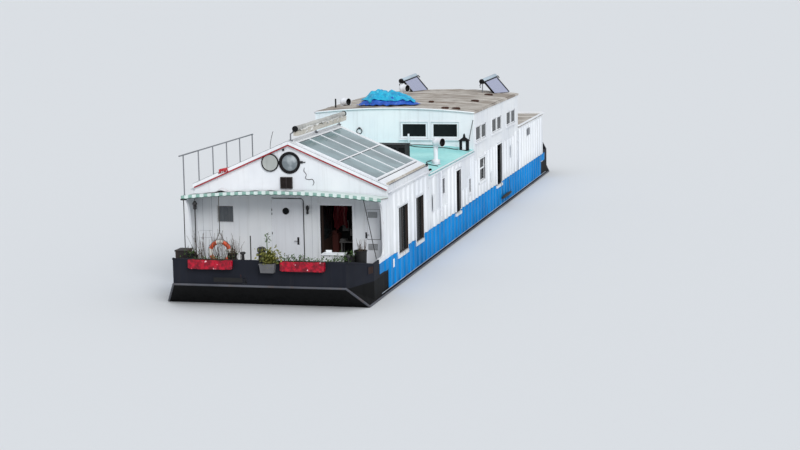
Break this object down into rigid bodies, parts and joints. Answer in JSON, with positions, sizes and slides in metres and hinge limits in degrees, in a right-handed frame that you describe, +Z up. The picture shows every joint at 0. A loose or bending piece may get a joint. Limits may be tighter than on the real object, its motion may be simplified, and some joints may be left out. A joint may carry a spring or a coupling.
{
  "type": "houseboat",
  "caption": "Full-size houseboat: a flat-bottomed steel barge with a ribbed white house, gabled front room with skylight, roof deck and raised cabin.",
  "frame": {"origin": "middle of the barge's flat bottom", "axes": "+X to the right-hand side, +Y from the gabled fore end to the aft end, +Z up; the waterline is at z = 0.6"},
  "size_m": [6.1216, 34.2203, 5.7121],
  "materials": {
    "hull_steel": "satin black-blue paint",
    "white_cladding": "satin white paint",
    "blue_cladding": "satin blue paint",
    "deck_paint": "matt turquoise deck paint",
    "roof_felt": "weathered beige roofing",
    "door_white": "satin white paint",
    "window": "clear glass in white frames",
    "black_trim": "satin black paint",
    "awning_metal": "beige powder coat",
    "grille": "weathered brown grille",
    "striped_canvas": "green and white canvas",
    "vent_white": "gloss white paint",
    "heater_panel": "collector glass",
    "tarpaulin": "woven plastic sheet",
    "lifebuoy_foam": "orange and white shell",
    "planter_red": "red crinkled cover",
    "planter_grey": "grey plastic",
    "rail_steel": "dull galvanized tube"
  },
  "bodies": {
    "boat": {"awning_cassette": "awning_metal", "bulwark_aft": "hull_steel", "bulwark_fore": "hull_steel", "cabin_roof": "roof_felt", "cabin_wall_aft": "white_cladding", "cabin_wall_fore": "white_cladding", "cabin_wall_left": "white_cladding", "cabin_wall_right": "white_cladding", "canopy_fore": "striped_canvas", "cowl_deck": "vent_white", "cowl_roof_left": "vent_white", "cowl_roof_mid": "vent_white", "deck_box": "black_trim", "flower_box_left": "planter_red", "flower_box_right": "planter_red", "gable_aft": "white_cladding", "handrail_left": "rail_steel", "heater_left": "heater_panel", "heater_right": "heater_panel", "hull": "hull_steel", "lifebuoy": "lifebuoy_foam", "pane_cabin_aft": "window", "pane_cabin_fore": "window", "pane_cabin_left": "window", "pane_cabin_right": "window", "pane_fore": "window", "pane_left_1": "window", "pane_left_2": "window", "pane_right_1": "window", "pane_right_2": "window", "planter": "planter_grey", "roof_deck_aft": "roof_felt", "roof_deck_fore": "deck_paint", "roof_heap": "tarpaulin", "roof_left": "white_cladding", "roof_right": "white_cladding", "round_window": "black_trim", "skirt_left": "blue_cladding", "skirt_right": "blue_cladding", "skylight": "window", "vent_box": "grille", "wall_aft": "white_cladding", "wall_fore": "white_cladding", "wall_left_aft": "white_cladding", "wall_left_fore": "white_cladding", "wall_right_aft": "white_cladding", "wall_right_fore": "white_cladding", "wing_left": "white_cladding", "wing_right": "white_cladding"},
    "front_door": {"door_fore": "door_white"},
    "locker_door": {"door_locker": "door_white"},
    "entry_door": {"door_entry": "door_white"},
    "side_door_fore": {"door_side_fore": "door_white"},
    "side_door_aft": {"door_side_aft": "door_white"},
    "aft_door": {"door_aft": "door_white"},
    "round_cover": {"round_window_cover": "window"},
    "box_lid": {"deck_box_lid": "black_trim"}
  },
  "joints": [
    {"name": "front_door_hinge", "type": "hinge", "parent": "boat", "child": "front_door", "pos_m": [-0.584, -13.908, 2], "axis": [0, 0, -1], "range_deg": [0, 105]},
    {"name": "locker_door_hinge", "type": "hinge", "parent": "boat", "child": "locker_door", "pos_m": [2.824, -13.908, 2], "axis": [0, 0, 1], "range_deg": [0, 95]},
    {"name": "entry_door_hinge", "type": "hinge", "parent": "boat", "child": "entry_door", "pos_m": [0.926, -13.802, 2], "axis": [0, 0, 1], "range_deg": [-90, 0]},
    {"name": "side_door_fore_hinge", "type": "hinge", "parent": "boat", "child": "side_door_fore", "pos_m": [2.902, -4.494, 2], "axis": [0, 0, 1], "range_deg": [-90, 0]},
    {"name": "side_door_aft_hinge", "type": "hinge", "parent": "boat", "child": "side_door_aft", "pos_m": [2.902, 3.176, 2], "axis": [0, 0, 1], "range_deg": [-90, 0]},
    {"name": "aft_door_hinge", "type": "hinge", "parent": "boat", "child": "aft_door", "pos_m": [-0.444, 14.608, 2], "axis": [0, 0, 1], "range_deg": [0, 105]},
    {"name": "round_cover_hinge", "type": "hinge", "parent": "boat", "child": "round_cover", "pos_m": [-0.28, -13.952, 4.415], "axis": [0, 0, 1], "range_deg": [0, 180]},
    {"name": "box_lid_hinge", "type": "hinge", "parent": "boat", "child": "box_lid", "pos_m": [1.525, -7.142, 4.306], "axis": [-1, 0, 0], "range_deg": [0, 100]}
  ]
}
